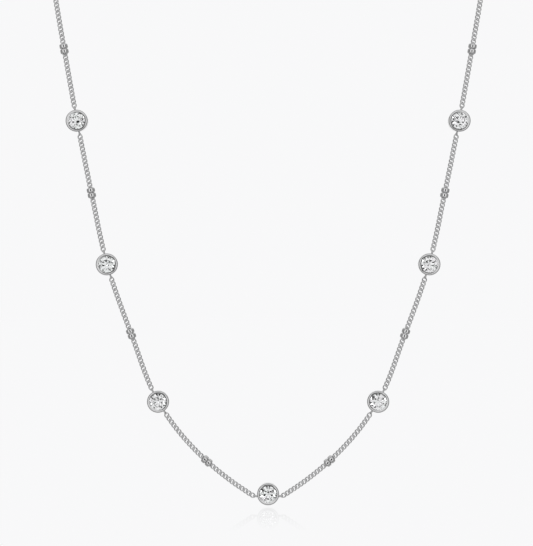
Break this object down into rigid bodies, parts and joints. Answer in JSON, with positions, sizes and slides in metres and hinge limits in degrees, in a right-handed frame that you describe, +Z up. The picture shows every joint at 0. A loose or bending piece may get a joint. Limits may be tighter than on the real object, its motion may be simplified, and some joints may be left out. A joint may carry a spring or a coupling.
{
  "type": "station necklace",
  "caption": "Fine curb-chain station necklace with round stones in rubbed-over cup settings, pairs of small rounded beads between them and a barrel clasp at the nape.",
  "frame": {"origin": "middle of the clasp at the nape, where the necklace sits on the back of the neck", "axes": "+Z up, -Y towards the viewer of the front, +X to that viewer's right; the stones face -Y"},
  "size_m": [0.0962, 0.0693, 0.1254],
  "materials": {
    "setting_silver": "polished silver",
    "clear_stone": "cut and polished",
    "bead_silver": "polished silver",
    "chain_silver": "polished silver wire",
    "clasp_silver": "polished silver"
  },
  "bodies": {
    "root": {"setting_1": "setting_silver", "setting_2": "setting_silver", "setting_3": "setting_silver", "setting_4": "setting_silver", "setting_5": "setting_silver", "setting_6": "setting_silver", "setting_7": "setting_silver", "stone_1": "clear_stone", "stone_2": "clear_stone", "stone_3": "clear_stone", "stone_4": "clear_stone", "stone_5": "clear_stone", "stone_6": "clear_stone", "stone_7": "clear_stone", "bead_1": "bead_silver", "bead_2": "bead_silver", "bead_3": "bead_silver", "bead_4": "bead_silver", "bead_5": "bead_silver", "bead_6": "bead_silver", "bead_7": "bead_silver", "bead_8": "bead_silver", "bead_9": "bead_silver", "bead_10": "bead_silver", "bead_11": "bead_silver", "bead_12": "bead_silver", "bead_13": "bead_silver", "bead_14": "bead_silver", "bead_15": "bead_silver", "bead_16": "bead_silver", "chain_1": "chain_silver", "chain_2": "chain_silver", "chain_3": "chain_silver", "chain_4": "chain_silver", "chain_5": "chain_silver", "chain_6": "chain_silver", "chain_7": "chain_silver", "chain_8": "chain_silver", "clasp": "clasp_silver"}
  },
  "joints": []
}
